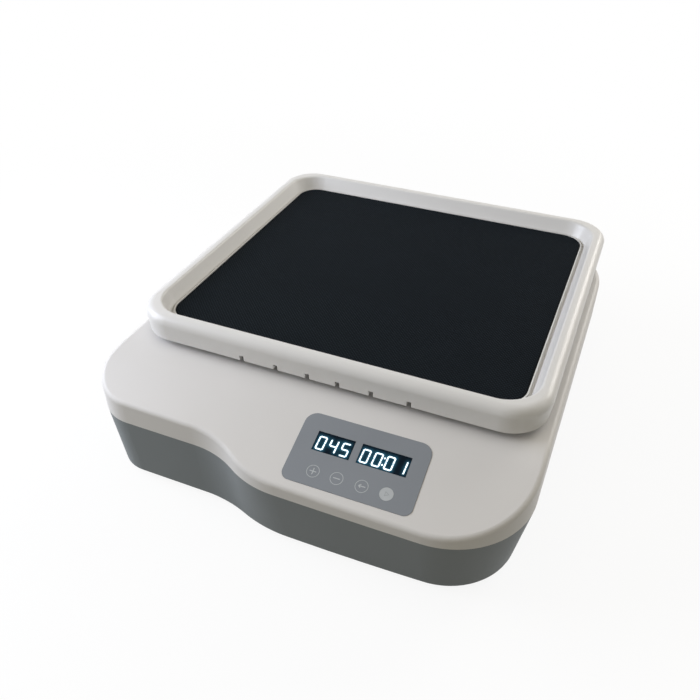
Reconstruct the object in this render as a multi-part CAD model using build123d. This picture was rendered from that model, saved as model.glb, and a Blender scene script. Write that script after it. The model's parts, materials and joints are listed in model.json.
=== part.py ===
from build123d import *
import os
from math import atan2, cos, degrees, pi, radians, sin, sqrt, tan

# Laboratory orbital shaker. Millimetres, +Z up, the front faces -Y and the right side is +X.
# The origin is on the bench, under the middle of the base.
os.makedirs("parts", exist_ok=True)

# Levels above the bench
foot_height = 4.0
seam_z = 42.4            # where the white cover meets the grey housing
deck_z = 66.4            # flat top of the cover
skirt_z = 71.0           # lower edge of the tray's skirt
mat_top_z = 78.4
rim_z = 86.3             # top of the tray's rim

# Plan of the base where the cover meets the housing, and the smaller plan at its floor.
# The left of the front is set back, and a wave joins it to the right of the front.
seam_plan = {
    "side": 123.5, "back": 137.4, "left_front": 122.4, "right_front": 137.2,
    "wave_from": -53.5, "wave_to": 1.0, "bow": 5000.0,
    "back_corner": 50.0, "left_corner": 26.0, "right_corner": 46.0,
}
floor_plan = {
    "side": 117.2, "back": 130.3, "left_front": 121.0, "right_front": 131.0,
    "wave_from": -52.0, "wave_to": 4.0, "bow": 1600.0,
    "back_corner": 44.0, "left_corner": 22.0, "right_corner": 39.0,
}
wall = 2.5
housing_floor = 3.0
floor_top_z = foot_height + housing_floor
floor_edge_radius = 1.5

# Cover: the deck bends down to the front as a sloping apron, turned a little to the right
apron_angle = 18.5
apron_turn = 3.0
apron_start_y = -86.0
apron_bend_radius = 60.0
cover_edge_radius = 2.6

# Control panel on the apron, with places measured from its upper left corner
panel_x = 37.0
panel_y = -112.9
panel_turn = 0.8
panel_width = 68.0
panel_height = 39.4
panel_upper_corner = 6.5
panel_lower_corner = 4.5
panel_recess = 0.4
panel_thickness = 0.6
window_height = 11.0
window_top_margin = 9.6
speed_window_left = 9.4
speed_window_width = 20.2
timer_window_left = 33.4
timer_window_width = 26.0
key_radius = 3.5
key_row_drop = 31.5
start_key_left = 53.5
lens_proud = 0.2
lens_gap = 0.05
opening_lip = 0.4        # how far the cover reaches in behind a window

# Orbit: the tray moves in a circle without turning
orbit_radius = 10.0
orbit_y = 18.4
rest_phase = 84.0
crank_offset = (orbit_radius * cos(radians(rest_phase)), orbit_radius * sin(radians(rest_phase)))
idler_span_x = 160.0
idler_span_y = 140.0
idlers = {
    "front_left": (-idler_span_x / 2, orbit_y - idler_span_y / 2),
    "front_right": (idler_span_x / 2, orbit_y - idler_span_y / 2),
    "back_left": (-idler_span_x / 2, orbit_y + idler_span_y / 2),
    "back_right": (idler_span_x / 2, orbit_y + idler_span_y / 2),
}

# Tray: insets are measured from its outside, at the rim's top
tray_width = 238.0
tray_depth = 218.4
tray_corner = 23.0
well_corner = 28.0
tray_wall = 2.5
tray_floor = 2.8
rim_inset = 8.0          # inner edge of the rim's top
well_inset = 13.0        # foot of the sloping inner wall
rim_radius = 5.0
rim_inner_radius = 1.6
rim_wall = 3.5           # from the rim's top to the hollow under it
skirt_draft = 1.5
tray_x = crank_offset[0]
tray_y = orbit_y + crank_offset[1]
notch_middle_x = tray_x + 1.6
notch_reaches = (8.8, 27.8, 48.6)
notch_width = 2.6
notch_height = 3.4

# Mat, held between low beads on the tray's floor
mat_thickness = 2.0
mat_edge_radius = 0.5
mat_gap = 0.15
bead_width = 0.7
bead_rise = 0.2          # above the mat
groove_width = 0.95      # between the bead and the foot of the well's wall
mat_inset = well_inset + groove_width + bead_width + mat_gap
tray_floor_top = mat_top_z - mat_thickness
tray_floor_under = tray_floor_top - tray_floor

# Chassis and drive train, with the shafts upright
plate_z = 26.0
plate_thickness = 3.0
plate_top = plate_z + plate_thickness
motor_x = -68.0
motor_radius = 21.0
motor_top_z = 61.0
motor_boss_radius = 7.9
motor_screw_circle = 14.0
motor_shaft_radius = 2.5
drive_shaft_radius = 4.0
drive_bearing_radius = 11.0
drive_bearing_height = 7.0
crank_pin_radius = 3.0
idler_pin_radius = 2.5
running_gap = 0.05
press_gap = 0.02
pin_hole_margin = 0.85   # between a pin at the edge of its orbit and its hole in the deck
motor_screw_spots = [
    (motor_x + motor_screw_circle * cos(radians(a)), orbit_y + motor_screw_circle * sin(radians(a)))
    for a in (45, 135, 225, 315)
]
shaft_foot_z = 11.0
drive_shaft_top = 60.0
barrel_flange_radius = 26.0
barrel_flange_top = 33.0
barrel_screw_circle = 21.5
barrel_screw_spots = [
    (barrel_screw_circle * cos(radians(a)), orbit_y + barrel_screw_circle * sin(radians(a)))
    for a in (45, 135, 225, 315)
]
driven_pulley_radius = 36.0
motor_pulley_radius = 12.0
pulley_z = 12.0
pulley_height = 10.0
pulley_flange = 1.0
pulley_lip = 2.0
belt_gap = 0.3
belt_thickness = 1.4
belt_side_gap = 0.4
hub_z = 51.0
hub_flange = 3.0
hub_radius = 15.0
hub_flange_radius = 26.0
hub_top = 62.0
pin_top_z = 72.9
post_top = 50.0
platform_plate = 3.0
platform_bearing_z = 68.0
bearing_height = 5.0
bearing_radius = 8.0

# Screws as (shank radius, head radius, head height), and the holes round them
machine_screw = (1.45, 2.8, 2.0)
motor_screw = (1.2, 2.4, 1.6)
low_head_screw = (1.5, 2.6, 1.2)
screw_hole = 1.7
screw_thread_hole = 1.5
counterbore_radius = 3.3
through = 1.0            # how far a cut runs past the solid that it passes through
fastener_sides = 8       # small screws, pegs and their holes are plain prisms


def export(name, shape):
    """Write one sub-part under its own name."""
    shape.label = name
    export_step(shape, f"parts/{name}.step")


def disc(radius, low, high, x=0.0, y=0.0):
    """Upright cylinder between two levels."""
    return Pos(x, y, low) * Cylinder(radius, high - low, align=(Align.CENTER, Align.CENTER, Align.MIN))


def peg(radius, low, high, x=0.0, y=0.0):
    """Upright prism between two levels, for a screw's shank, a small post or a hole for one."""
    return extrude(Pos(x, y, low) * RegularPolygon(radius, fastener_sides), high - low)


def sunk_head(shank_radius, head_radius, top, x, y):
    """The tapered head of a countersunk screw, or its seat, with its wide end at a level."""
    foot = top - (head_radius - shank_radius)
    wide = Pos(x, y, top) * RegularPolygon(head_radius, fastener_sides)
    narrow = Pos(x, y, foot) * RegularPolygon(shank_radius, fastener_sides)
    return loft([narrow, wide], ruled=True)


def block(x0, x1, y0, y1, z0, z1):
    """Box between two corners."""
    middle = Pos((x0 + x1) / 2, (y0 + y1) / 2, (z0 + z1) / 2)
    return middle * Box(x1 - x0, y1 - y0, z1 - z0)


def turned(points, x=0.0, y=0.0):
    """Solid of revolution about an upright axis, from (radius, level) points."""
    outline = make_face(Plane.XZ * Polyline(*points, close=True))
    return Pos(x, y, 0) * revolve(outline, Axis.Z)


def group(solids):
    """Separate solids that share one name."""
    return Compound(children=list(solids))


def screw(kind, length, seat, x, y, down=1):
    """Hexagon-head screw. Its shank runs down from the seat, or up when down is -1."""
    radius, head_radius, head_height = kind
    body = peg(radius, -length, 0) + extrude(RegularPolygon(head_radius, 6), head_height)
    if down < 0:
        body = Rot(180, 0, 0) * body
    return Pos(x, y, seat) * body


def bearing(bore, outside, height, low, x, y):
    """Ball bearing, as one ring."""
    return disc(outside, low, low + height, x, y) - disc(bore, low, low + height, x, y)


def plan_at(level):
    """The base's plan values at a level between its floor and the seam."""
    share = min((level - foot_height) / (seam_z - foot_height), 1.0)
    return {key: floor_plan[key] + (seam_plan[key] - floor_plan[key]) * share for key in seam_plan}


def base_outline(level, inset=0.0):
    """Closed outline of the base at a level, with the wave in its front."""
    p = plan_at(level)
    reach = p["side"] - p["wave_to"]
    bow_end = -p["right_front"] + p["bow"] - sqrt(p["bow"] ** 2 - reach ** 2)
    wave_start = (p["wave_from"], -p["left_front"])
    wave_end = (p["wave_to"], -p["right_front"])
    wave_middle = ((wave_start[0] + wave_end[0]) / 2, (wave_start[1] + wave_end[1]) / 2)
    back_left = (-p["side"], p["back"])
    back_right = (p["side"], p["back"])
    front_left = (-p["side"], -p["left_front"])
    front_right = (p["side"], bow_end)
    wave_in = TangentArc(wave_start, wave_middle, tangent=(1, 0))
    wave_out = TangentArc(wave_middle, wave_end, tangent=wave_in % 1)
    bow = TangentArc(wave_end, front_right, tangent=(1, 0))
    edges = [
        Line(back_left, front_left),
        Line(front_left, wave_start),
        wave_in,
        wave_out,
        bow,
        Line(front_right, back_right),
        Line(back_right, back_left),
    ]
    face = make_face(edges)
    for corner, radius in (
        (back_left, p["back_corner"]),
        (back_right, p["back_corner"]),
        (front_left, p["left_corner"]),
        (front_right, p["right_corner"]),
    ):
        face = fillet(face.vertices().sort_by_distance((corner[0], corner[1], 0))[:1], radius)
    if inset:
        face = offset(face, -inset)
    return Pos(0, 0, level) * face


def cover_form(inset, drop):
    """The cover's solid form: the base's outline under the deck and the apron."""
    far = 160.0
    deck = deck_z - drop
    front_z = deck - (far + apron_start_y) * tan(radians(apron_angle))
    side = Polyline((far, 0), (far, deck), (apron_start_y, deck), (-far, front_z), (-far, 0), close=True)
    profile = make_face(side)
    bend = profile.vertices().sort_by_distance((apron_start_y, deck, 0))[:1]
    profile = fillet(bend, apron_bend_radius)
    prism = extrude(Plane.YZ * profile, far, both=True)
    turn = Pos(panel_x, apron_start_y, 0) * Rot(0, 0, apron_turn) * Pos(-panel_x, -apron_start_y, 0)
    return extrude(base_outline(seam_z, inset), deck_z - seam_z + 1) & (turn * prism)


def panel_plane(depth=0.0):
    """The plane of the control panel, at a depth under the apron's surface."""
    tilt = radians(apron_angle)
    turn = radians(apron_turn)
    height = deck_z - (apron_start_y - panel_y) * cos(turn) * tan(tilt)
    normal = Vector(sin(tilt) * sin(turn), -sin(tilt) * cos(turn), cos(tilt))
    origin = Vector(panel_x, panel_y, height) - normal * depth
    across = Vector(cos(radians(panel_turn)), sin(radians(panel_turn)), 0)
    return Plane(origin=origin, x_dir=across - normal * across.dot(normal), z_dir=normal)


def on_panel(sketch, depth, thickness):
    """A sketch on the panel, made solid downwards from a depth."""
    return extrude(panel_plane(depth + thickness) * sketch, thickness)


def panel_sheet():
    """The panel's outline, with larger corners at its upper edge."""
    sheet = Rectangle(panel_width, panel_height)
    sheet = fillet(sheet.vertices().sort_by(Axis.Y)[:2], panel_lower_corner)
    return fillet(sheet.vertices().sort_by(Axis.Y)[-2:], panel_upper_corner)


def window(left, width, shrink=0.0):
    """One display window, in the panel's own coordinates."""
    x = -panel_width / 2 + left + width / 2
    y = panel_height / 2 - window_top_margin - window_height / 2
    return Pos(x, y) * Rectangle(width - 2 * shrink, window_height - 2 * shrink)


def start_key(shrink=0.0):
    """The round start key, in the panel's own coordinates."""
    x = -panel_width / 2 + start_key_left
    y = panel_height / 2 - key_row_drop
    return Pos(x, y) * Circle(key_radius - shrink)


panel_sketch = panel_sheet()
windows = [(speed_window_left, speed_window_width), (timer_window_left, timer_window_width)]

# Where the cover's posts stand, above the housing's bosses
cover_screws = [(-104, -48), (104, -48), (-104, 78), (104, 78), (-66, -106), (0, 119)]
post_split_z = 34.0
post_radius = 4.0
boss_radius = 4.5
cover_screw_seat = 10.0
cover_screw_length = 34.0
feet = {
    "front_left": (-90, -97),
    "front_right": (90, -97),
    "back_left": (-84, 104),
    "back_right": (84, 104),
}
foot_radius = 9.4
foot_seat_z = foot_height + 1.2
board_posts = [(-26, -92), (92, -92), (-26, -116), (84, -118)]
board_z = 12.0
board_thickness = 1.6
vent_count = 9
vent_pitch = 6.0
vent_length = 26.0
vent_width = 2.4
vent_start = (20.0, 62.0)

# Rear panel: the inlet and the rocker switch stand square to the sloping back wall
back_lean = degrees(atan2(seam_plan["back"] - floor_plan["back"], seam_z - foot_height))
rear_z = 24.0
rear_y = plan_at(rear_z)["back"]
switch_x = -46.0
switch_width = 13.0
switch_height = 19.0
bezel_border = 1.5
flange_thickness = 1.2
fitting_gap = 0.1
inlet_x = -14.0
inlet_radius = 5.5
inlet_bore = 3.2
inlet_flange_radius = 7.0
inlet_depth = 10.0
rocker_swing = 10.0
rocker_pivot_depth = 2.2
rocker_pivot_radius = 1.0


def rear_plane(x, out=0.0):
    """A plane on the back wall, looking outwards."""
    lean = radians(back_lean)
    normal = Vector(0, cos(lean), -sin(lean))
    return Plane(origin=Vector(x, rear_y, rear_z) + normal * out, x_dir=(-1, 0, 0), z_dir=normal)


def lower_housing():
    """Grey tub: lofted walls that draw in towards the floor, with bosses inside."""
    outer = loft([base_outline(foot_height), base_outline(seam_z)], ruled=True)
    outer = fillet(outer.faces().sort_by(Axis.Z)[0].edges(), floor_edge_radius)
    inner = loft([base_outline(floor_top_z, wall), base_outline(seam_z, wall)], ruled=True)
    body = outer - inner
    root = floor_top_z - 0.5
    under = foot_height - through
    for x, y in cover_screws:
        body += disc(boss_radius, root, post_split_z, x, y)
        body -= peg(screw_hole, under, post_split_z + through, x, y)
        body -= peg(counterbore_radius, under, cover_screw_seat, x, y)
    for x, y in board_posts:
        body += peg(3.0, root, board_z, x, y)
    for x, y in feet.values():
        body -= disc(foot_radius + fitting_gap, under, foot_seat_z, x, y)
        body -= peg(low_head_screw[0] + fitting_gap, foot_height, floor_top_z + through, x, y)
    for i in range(vent_count):
        slot = SlotOverall(vent_length, vent_width, rotation=90)
        place = Pos(vent_start[0] + i * vent_pitch, vent_start[1], under)
        body -= extrude(place * slot, housing_floor + 2 * through)
    opening = RectangleRounded(switch_width + 2 * fitting_gap, switch_height + 2 * fitting_gap, 1.2)
    cut_depth = wall + 2 * through
    body -= extrude(rear_plane(switch_x, -cut_depth) * opening, cut_depth + through)
    body -= extrude(rear_plane(inlet_x, -cut_depth) * Circle(inlet_radius + running_gap), cut_depth + through)
    return body


def top_cover():
    """White cover: deck, apron and band in one shell, with the openings for the crank pins."""
    outer = cover_form(0.0, 0.0)

    def runs_along(edge, axis):
        """Whether an edge is a straight line along an axis, within a few degrees."""
        return edge.geom_type == GeomType.LINE and abs(getattr(edge.tangent_at(0.5), axis)) > 0.99

    # Not the upright lines, nor the two lines where the rounded bend meets the deck and the apron
    top_edges = [
        e for e in outer.edges()
        if e.center().Z > seam_z + 2 and not runs_along(e, "Z")
        and not (runs_along(e, "X") and abs(e.center().Y) < 110)
    ]
    outer = fillet(top_edges, cover_edge_radius)
    body = outer - cover_form(wall, wall)
    # A tongue drops inside the housing's wall
    tongue_height = 3.0
    tongue_outside = 3.4
    tongue_inside = 4.6
    ring = extrude(base_outline(seam_z, wall - 0.2), tongue_height)
    ring -= extrude(base_outline(seam_z, tongue_inside), tongue_height)
    tongue = extrude(base_outline(seam_z, tongue_outside), -tongue_height)
    tongue -= extrude(base_outline(seam_z, tongue_inside), -tongue_height)
    body += ring + tongue
    skin = wall - 0.3
    inside = extrude(base_outline(seam_z, skin), post_split_z - seam_z) + cover_form(skin, skin)
    thread_depth = 14.0
    for x, y in cover_screws:
        body += disc(post_radius, post_split_z, deck_z, x, y) & inside
    for x, y in cover_screws:
        body -= peg(screw_thread_hole, post_split_z - through, post_split_z + thread_depth, x, y)
    pins = [(0.0, orbit_y, crank_pin_radius)] + [(x, y, idler_pin_radius) for x, y in idlers.values()]
    for x, y, pin in pins:
        body -= disc(orbit_radius + pin + pin_hole_margin, deck_z - 2 * wall, deck_z + through, x, y)
    body -= on_panel(offset(panel_sketch, 0.1), -3.0, 3.0 + panel_recess)
    for left, width in windows:
        body -= on_panel(window(left, width, opening_lip), -through, 6.0)
    body -= on_panel(start_key(0.6), -through, 6.0)
    board_post_depth = 7.5
    for x in (-30.0, 30.0):
        for y in (-13.0, 15.0):
            post = panel_plane(board_post_depth) * Pos(x, y) * RegularPolygon(2.5, fastener_sides)
            body += extrude(post, board_post_depth - wall + 0.5)
    return body


def control_panel():
    """The printed sheet, its two windows and what stands behind them."""
    sheet = on_panel(panel_sketch, panel_recess - panel_thickness, panel_thickness)
    for left, width in windows:
        sheet -= on_panel(window(left, width), -2.0, 4.0)
    sheet -= on_panel(start_key(), -2.0, 4.0)
    export("control_overlay", sheet)
    lenses = [on_panel(window(left, width, lens_gap), -lens_proud, panel_thickness) for left, width in windows]
    export("display_windows", group(lenses))
    export("start_key_lens", on_panel(start_key(lens_gap), -lens_proud, panel_thickness))
    module_depth = 7.1
    for name, (left, width) in zip(("speed_display", "timer_display"), windows):
        export(name, on_panel(window(left, width, 0.6), panel_recess, module_depth))
    board_depth = panel_recess + module_depth
    board = on_panel(Rectangle(65, 34), board_depth, board_thickness)
    board += on_panel(start_key(1.2), panel_recess, module_depth)
    connector = Pos(0, -12) * Rectangle(16, 5)
    board += on_panel(connector, board_depth + board_thickness, 4.0)
    export("display_board", board)


def control_board():
    """Main circuit board on its posts, with the parts that stand on it."""
    board = block(-30, 96, -120, -88, board_z, board_z + board_thickness)
    board = fillet(board.edges().filter_by(Axis.Z), 2.0)
    top = board_z + board_thickness
    # Relay, driver, choke and plug, each as x, y, width, depth and height
    for x, y, width, depth, height in ((-16, -105, 16, 14, 6), (7, -103, 14, 14, 3), (32, -97, 16, 6, 5),
                                       (77, -105, 14, 14, 9)):
        board += block(x - width / 2, x + width / 2, y - depth / 2, y + depth / 2, top, top + height)
    for x in (50, 60):
        board += disc(4.0, top, top + 11, x, -106)
    return board


def chassis():
    """Steel plate on columns, which carries the motor, the main bearing and the four posts."""
    plate = block(-96, 96, -70, 110, plate_z, plate_top)
    plate = fillet(plate.edges().filter_by(Axis.Z), 12.0)
    columns = [(-58, -60), (58, -60), (-90, -6), (90, -6), (-58, 100), (58, 100)]
    shaft_hole = 10.0
    column_width = 4.5
    thread_depth = 12.0
    low = plate_z - through
    high = plate_top + through
    plate -= disc(shaft_hole, low, high, 0, orbit_y) + disc(motor_boss_radius + 0.1, low, high, motor_x, orbit_y)
    holes = [(x, y, motor_screw[0] + 0.2) for x, y in motor_screw_spots]
    holes += [(x, y, screw_hole) for x, y in columns]
    holes += [(x, y, screw_thread_hole) for x, y in barrel_screw_spots]
    for x, y, radius in holes:
        plate -= peg(radius, low, high, x, y)
    export("chassis_plate", plate)
    standoffs = []
    for x, y in columns:
        column = extrude(Pos(x, y, floor_top_z) * RegularPolygon(column_width, 6), plate_z - floor_top_z)
        column -= peg(screw_thread_hole, plate_z - thread_depth, plate_z + through, x, y)
        standoffs.append(column)
    export("chassis_standoffs", group(standoffs))
    screws = [screw(machine_screw, 10.0, plate_top, x, y) for x, y in columns]
    screws += [screw(machine_screw, 8.0, barrel_flange_top, x, y) for x, y in barrel_screw_spots]
    export("chassis_screws", group(screws))


def bearing_housing():
    """Main bearing housing: flanged barrel with a bearing at each end of its bore."""
    bore = drive_bearing_radius + running_gap
    outside = 16.0
    top = 50.0
    points = [
        (bore, plate_top), (barrel_flange_radius, plate_top), (barrel_flange_radius, barrel_flange_top),
        (outside, barrel_flange_top), (outside, top), (bore, top),
    ]
    barrel = turned(points, 0, orbit_y)
    for x, y in barrel_screw_spots:
        barrel -= peg(screw_hole, plate_top - through, barrel_flange_top + through, x, y)
    export("drive_bearing_housing", barrel)
    shaft_bore = drive_shaft_radius + running_gap
    lows = (plate_top, top - drive_bearing_height)
    pair = [bearing(shaft_bore, drive_bearing_radius, drive_bearing_height, low, 0, orbit_y) for low in lows]
    export("drive_bearings", group(pair))


def idler_supports():
    """Four flanged posts on the plate, each with two small bearings."""
    bore = bearing_radius + running_gap
    outside = 10.0
    flange = 14.0
    flange_top = 32.0
    posts = []
    bearings = []
    for x, y in idlers.values():
        points = [(bore, plate_top), (flange, plate_top), (flange, flange_top), (outside, flange_top),
                  (outside, post_top), (bore, post_top)]
        posts.append(turned(points, x, y))
        for low in (plate_top, post_top - bearing_height):
            bearings.append(bearing(idler_pin_radius + running_gap, bearing_radius, bearing_height, low, x, y))
    export("idler_bearing_posts", group(posts))
    export("idler_bearings", group(bearings))


def pulley(radius, bore, holes=0):
    """Flanged belt pulley with a hub bore and lightening holes."""
    low = pulley_z
    high = pulley_z + pulley_height
    edge = radius + pulley_lip
    points = [
        (bore, low), (edge, low), (edge, low + pulley_flange), (radius, low + pulley_flange),
        (radius, high - pulley_flange), (edge, high - pulley_flange), (edge, high), (bore, high),
    ]
    body = turned(points)
    hole_radius = 7.0
    circle = radius * 0.6
    for i in range(holes):
        angle = 2 * pi * i / holes
        body -= disc(hole_radius, low - through, high + through, circle * cos(angle), circle * sin(angle))
    return body


def motor():
    """Motor can with its boss in the plate, and the rotor shaft with its small pulley."""
    bore = motor_shaft_radius + 0.2
    bore_top = 42.0
    boss_foot = plate_z + 0.5
    can = turned(
        [(bore, boss_foot), (motor_boss_radius, boss_foot), (motor_boss_radius, plate_top),
         (motor_radius, plate_top), (motor_radius, motor_top_z), (0, motor_top_z), (0, bore_top),
         (bore, bore_top)],
        motor_x, orbit_y,
    )
    side = orbit_y + motor_radius
    can += block(motor_x - 4, motor_x + 4, side - 1, side + 3, 52, 57)
    for x, y in motor_screw_spots:
        can -= peg(motor_screw[0] + running_gap, plate_top - through, plate_top + 4, x, y)
    export("motor_body", can)
    screws = [screw(motor_screw, 6.0, plate_z, x, y, down=-1) for x, y in motor_screw_spots]
    export("motor_screws", group(screws))
    export("motor_shaft", disc(motor_shaft_radius, shaft_foot_z, bore_top - 1, motor_x, orbit_y))
    small = Pos(motor_x, orbit_y, 0) * pulley(motor_pulley_radius, motor_shaft_radius + press_gap)
    export("motor_pulley", small)


def belt():
    """Flat belt round both pulleys, as one closed loop."""
    def loop(extra):
        large = driven_pulley_radius + extra
        small = motor_pulley_radius + extra
        return make_hull(
            (Pos(0, orbit_y) * Circle(large)).edges() + (Pos(motor_x, orbit_y) * Circle(small)).edges()
        )
    band = loop(belt_gap + belt_thickness) - loop(belt_gap)
    edge = pulley_flange + belt_side_gap
    return extrude(Pos(0, 0, pulley_z + edge) * band, pulley_height - 2 * edge)


def drive_crank():
    """Main shaft, driven pulley, hub, pin and counterweight. The weight sits opposite the pin."""
    pin_x = crank_offset[0]
    pin_y = orbit_y + crank_offset[1]
    seat = hub_z + hub_flange
    export("drive_shaft", disc(drive_shaft_radius, shaft_foot_z, drive_shaft_top, 0, orbit_y))
    driven = Pos(0, orbit_y, 0) * pulley(driven_pulley_radius, drive_shaft_radius + press_gap, holes=5)
    export("driven_pulley", driven)
    hub = disc(hub_flange_radius, hub_z, seat, 0, orbit_y) + disc(hub_radius, hub_z, hub_top, 0, orbit_y)
    hub -= disc(drive_shaft_radius + press_gap, hub_z - through, drive_shaft_top, 0, orbit_y)
    hub -= disc(crank_pin_radius + press_gap, seat, hub_top + through, pin_x, pin_y)
    export("crank_hub", hub)
    export("crank_pin", disc(crank_pin_radius, seat, pin_top_z, pin_x, pin_y))
    weight_radius = 40.0
    sector = Circle(weight_radius) - Circle(hub_radius + 0.1)
    half = Rot(0, 0, rest_phase) * Pos(-25.0, 0) * Rectangle(50.0, 100.0)
    weight = extrude(Pos(0, orbit_y, seat) * (sector & half), hub_top - seat)
    screw_circle = 20.5
    head_depth = 2.6
    spots = []
    for turn in (150, 210):
        angle = radians(rest_phase + turn)
        spots.append((screw_circle * cos(angle), orbit_y + screw_circle * sin(angle)))
    for x, y in spots:
        weight -= peg(screw_hole, hub_z, hub_top + through, x, y)
        weight -= peg(counterbore_radius, hub_top - head_depth, hub_top + through, x, y)
    export("counterweight", weight)
    length = hub_top - head_depth - seat - 0.1
    screws = [screw(machine_screw, length, hub_top - head_depth, x, y) for x, y in spots]
    export("counterweight_screws", group(screws))


def idler_crank(x, y):
    """One turned crank: shaft, arm and offset pin."""
    arm_low = 51.5
    arm_high = 56.5
    arm_width = 11.0
    body = disc(idler_pin_radius, plate_top + 0.4, arm_low + 0.5, x, y)
    arm = Rot(0, 0, rest_phase) * Pos(orbit_radius / 2, 0) * SlotCenterToCenter(orbit_radius, arm_width)
    body += extrude(Pos(x, y, arm_low) * arm, arm_high - arm_low)
    body += disc(idler_pin_radius, arm_high - 0.5, pin_top_z, x + crank_offset[0], y + crank_offset[1])
    return body


tray_screw_spots = [(tray_x + x, tray_y + y) for x in (-70, 70) for y in (-40, 40)]
tray_screw_radius = 2.0
tray_screw_head = 4.0


def drive_plate():
    """Plate under the tray, with a boss for each platform bearing."""
    half_width = 98.0
    half_depth = 88.0
    under = tray_floor_under - platform_plate
    top = tray_floor_under + through
    plate = block(tray_x - half_width, tray_x + half_width, tray_y - half_depth, tray_y + half_depth,
                  under, tray_floor_under)
    plate = fillet(plate.edges().filter_by(Axis.Z), 16.0)
    centres = [(0.0, orbit_y)] + list(idlers.values())
    bosses = [(x + crank_offset[0], y + crank_offset[1]) for x, y in centres]
    for x, y in bosses:
        plate += disc(bearing_radius + 3.0, platform_bearing_z - 0.6, tray_floor_under, x, y)
    for x, y in bosses:
        plate -= disc(bearing_radius + running_gap, platform_bearing_z, top, x, y)
        plate -= disc(bearing_radius - 1.5, platform_bearing_z - 2, platform_bearing_z + 1, x, y)
    opening_reach = 45.0
    opening_half = 11.0
    for y in (tray_y - 62, tray_y + 62):
        plate -= block(tray_x - opening_reach, tray_x + opening_reach, y - opening_half, y + opening_half,
                       under - through, top)
    for x, y in tray_screw_spots:
        plate -= peg(tray_screw_radius + running_gap, under - through, top, x, y)
    export("drive_plate", plate)
    rings = []
    for i, (x, y) in enumerate(bosses):
        pin = crank_pin_radius if i == 0 else idler_pin_radius
        rings.append(bearing(pin + running_gap, bearing_radius, bearing_height, platform_bearing_z, x, y))
    export("platform_bearings", group(rings))


def tray_shape(inset, corner=tray_corner):
    """The tray's plan, drawn in by an inset."""
    return RectangleRounded(tray_width - 2 * inset, tray_depth - 2 * inset, corner - inset)


def tray_slab(low, high, inset_low, inset_high, corner=tray_corner):
    """A drafted block with the tray's plan, drawn in by an inset at each level."""
    return loft([
        Pos(tray_x, tray_y, low) * tray_shape(inset_low, corner),
        Pos(tray_x, tray_y, high) * tray_shape(inset_high, corner),
    ], ruled=True)


def tray():
    """Moulded tray: floor, sloping inner wall, rolled rim and outer skirt, hollow under the rim."""
    body = tray_slab(skirt_z, rim_z, skirt_draft, 0.0)
    top = body.faces().sort_by(Axis.Z)[-1]
    body = fillet(top.edges(), rim_radius)
    body -= tray_slab(tray_floor_top, rim_z, well_inset, rim_inset, well_corner)
    inner_edges = [
        e for e in body.edges()
        if abs(e.center().Z - rim_z) < 0.01 and abs(e.bounding_box().size.Z) < 0.01
        and abs(e.center().X - tray_x) < tray_width / 2 - rim_inset + 1.5
        and abs(e.center().Y - tray_y) < tray_depth / 2 - rim_inset + 1.5
    ]
    body = fillet(inner_edges, rim_inner_radius)
    # The space under the rim, between the skirt and the wall of the well, and the space under the floor
    slope = (well_inset - rim_inset) / (rim_z - tray_floor_top)
    ceiling_z = rim_z - rim_wall
    inner_wall = 1.15 * tray_wall
    foot_inset = well_inset + slope * tray_floor - inner_wall
    ceiling_inset = well_inset - slope * (ceiling_z - tray_floor_top) - inner_wall
    skirt_inset = skirt_draft + tray_wall
    channel = tray_slab(tray_floor_under, ceiling_z, skirt_inset, tray_wall + 0.4)
    body -= channel - tray_slab(tray_floor_under, ceiling_z, foot_inset, ceiling_inset, well_corner)
    body -= tray_slab(skirt_z - through, tray_floor_under, skirt_inset, skirt_inset)
    # The bead that keeps the mat in place
    bead_root = 0.5
    bead_inset = well_inset + groove_width
    ring = tray_shape(bead_inset, well_corner) - tray_shape(bead_inset + bead_width, well_corner)
    bead = Pos(tray_x, tray_y, tray_floor_top - bead_root) * ring
    body += extrude(bead, bead_root + mat_thickness + bead_rise)
    # Small drain notches in the skirt's lower edge, front and back
    half = notch_width / 2
    for reach in notch_reaches:
        for x in (notch_middle_x - reach, notch_middle_x + reach):
            for y in (tray_y - tray_depth / 2, tray_y + tray_depth / 2):
                body -= block(x - half, x + half, y - 5, y + 5, skirt_z - through, skirt_z + notch_height)
    hole_radius = tray_screw_radius + running_gap
    seat_radius = tray_screw_head + 3 * running_gap
    for x, y in tray_screw_spots:
        body -= peg(hole_radius, tray_floor_under - through, tray_floor_top + through, x, y)
        body -= sunk_head(hole_radius, seat_radius, tray_floor_top, x, y)
    return body


def tray_screw(x, y):
    """Countersunk screw, flush with the tray's floor under the mat."""
    top = tray_floor_top - running_gap
    length = 6.4
    shank = peg(tray_screw_radius, top - length, top - 1.0, x, y)
    return shank + sunk_head(tray_screw_radius, tray_screw_head, top, x, y)


def mat():
    """Non-slip mat that lies in the well."""
    sheet = Pos(tray_x, tray_y, tray_floor_top) * tray_shape(mat_inset, well_corner)
    body = extrude(sheet, mat_thickness)
    return fillet(body.faces().sort_by(Axis.Z)[-1].edges(), mat_edge_radius)


def foot(x, y):
    """Rubber foot with a hollow middle, held by one screw from below."""
    bore = 2.0
    seat = 1.6
    hollow = 5.0
    sole = 8.2
    points = [
        (bore, foot_seat_z), (foot_radius, foot_seat_z), (foot_radius, 2.0), (sole, 0.0),
        (hollow, 0.0), (hollow, seat), (bore, seat),
    ]
    return turned(points, x, y)


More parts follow.
